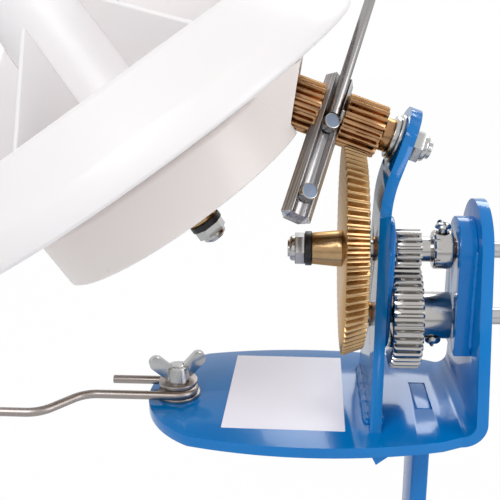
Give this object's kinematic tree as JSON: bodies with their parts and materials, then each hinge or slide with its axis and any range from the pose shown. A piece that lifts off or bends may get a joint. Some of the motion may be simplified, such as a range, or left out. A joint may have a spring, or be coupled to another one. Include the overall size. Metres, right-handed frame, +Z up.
{
  "type": "yarn ball winder",
  "caption": "Hand-cranked, table-clamped yarn ball winder with a tilted flanged cone, a gear train on a bent plate frame, a rod flyer and a wire yarn guide.",
  "frame": {"origin": "on the underside of the base plate, directly below the left face of the main gear, in the plate's middle plane", "axes": "+X along both drive shafts towards the crank, +Y away from the operator, +Z up"},
  "size_m": [0.3739, 0.2193, 0.471],
  "materials": {
    "frame_paint": "light blue gloss enamel",
    "gear_brass": "machined, slightly dull",
    "bush_brass": "machined",
    "gear_chrome": "polished nickel",
    "shaft_steel": "ground bright steel",
    "bar_steel": "drawn steel bar, dull",
    "rod_steel": "drawn steel wire, dull",
    "zinc": "zinc plated",
    "black_washer": "black moulded washer",
    "white_plastic": "white moulded plastic, satin",
    "guard_plastic": "white moulded plastic, satin",
    "knob_plastic": "black moulded plastic",
    "pad_rubber": "moulded rubber faced pad"
  },
  "bodies": {
    "frame": {"base_plate": "frame_paint", "middle_upright": "frame_paint", "inner_bearing_block": "frame_paint", "outer_bearing_block": "frame_paint", "bearing_bushes": "bush_brass", "clamp_bar": "frame_paint", "grip_spurs": "frame_paint", "guide_bolt": "zinc", "guide_washers": "zinc", "flyer_axle": "shaft_steel", "axle_nut": "zinc", "axle_washers": "zinc", "axle_spacer": "gear_brass", "spindle_bracket": "bar_steel", "bracket_screws": "zinc", "gear_guard": "guard_plastic", "spindle_bush": "bush_brass"},
    "main": {"main_shaft": "shaft_steel", "main_gear": "gear_brass", "main_gear_washer": "black_washer", "main_gear_nut": "zinc", "main_pinion": "gear_chrome", "shaft_collar": "gear_chrome", "collar_screw": "zinc"},
    "crank": {"crank_shaft": "shaft_steel", "drive_gear": "gear_chrome", "drive_gear_screw": "zinc", "crank_arm": "frame_paint", "crank_screw": "zinc", "knob_spindle": "shaft_steel"},
    "knob": {"crank_knob": "knob_plastic"},
    "flyer": {"flyer_pinion": "gear_brass", "flyer_bar": "bar_steel", "bar_screws": "zinc", "flyer_rod": "rod_steel"},
    "cone": {"cone_floor": "white_plastic", "cone_skirt": "white_plastic", "cone_fins": "white_plastic", "cone_column": "white_plastic", "cone_spindle": "shaft_steel", "cone_gear": "gear_brass", "cone_gear_washer": "black_washer", "cone_gear_nut": "zinc"},
    "guide": {"guide_arm": "rod_steel"},
    "wing": {"wing_nut": "zinc"},
    "screw": {"clamp_screw": "zinc"},
    "pad": {"clamp_pad": "pad_rubber"},
    "tommy": {"clamp_handle": "zinc"}
  },
  "joints": [
    {"name": "main_spin", "type": "hinge", "parent": "frame", "child": "main", "pos_m": [0, 0, 0.08], "axis": [1, 0, 0], "continuous": true},
    {"name": "crank_spin", "type": "hinge", "parent": "frame", "child": "crank", "pos_m": [0.05, 0, 0.0475], "axis": [1, 0, 0], "continuous": true},
    {"name": "knob_spin", "type": "hinge", "parent": "crank", "child": "knob", "pos_m": [0.108, 0, -0.0245], "axis": [1, 0, 0], "continuous": true},
    {"name": "flyer_spin", "type": "hinge", "parent": "frame", "child": "flyer", "pos_m": [-0.0068, 0, 0.14191], "axis": [-0.9397, 0, 0.342], "continuous": true},
    {"name": "cone_spin", "type": "hinge", "parent": "frame", "child": "cone", "pos_m": [-0.05935, 0.00902, 0.08282], "axis": [-0.5491, -0.073, 0.8326], "continuous": true},
    {"name": "guide_swing", "type": "hinge", "parent": "frame", "child": "guide", "pos_m": [-0.0785, -0.004, 0.008], "axis": [0, 0, 1], "range_deg": [-20, 20]},
    {"name": "wing_turn", "type": "hinge", "parent": "frame", "child": "wing", "pos_m": [-0.0785, -0.004, 0.014], "axis": [0, 0, 1], "range_deg": [-170, 170]},
    {"name": "clamp_travel", "type": "slide", "parent": "frame", "child": "screw", "axis": [0, 0, 1], "range_m": [-0.014, 0.049]},
    {"name": "pad_swivel", "type": "hinge", "parent": "screw", "child": "pad", "pos_m": [0.004, 0, -0.071], "axis": [0, 0, 1], "continuous": true},
    {"name": "handle_slide", "type": "slide", "parent": "screw", "child": "tommy", "axis": [0, 1, 0], "range_m": [-0.024, 0.024]}
  ],
  "couplings": [
    {"joint": "flyer_spin", "follows": "main_spin", "ratio": 4.5294},
    {"joint": "cone_spin", "follows": "main_spin", "ratio": -0.78571},
    {"joint": "crank_spin", "follows": "main_spin", "ratio": -0.33333}
  ]
}
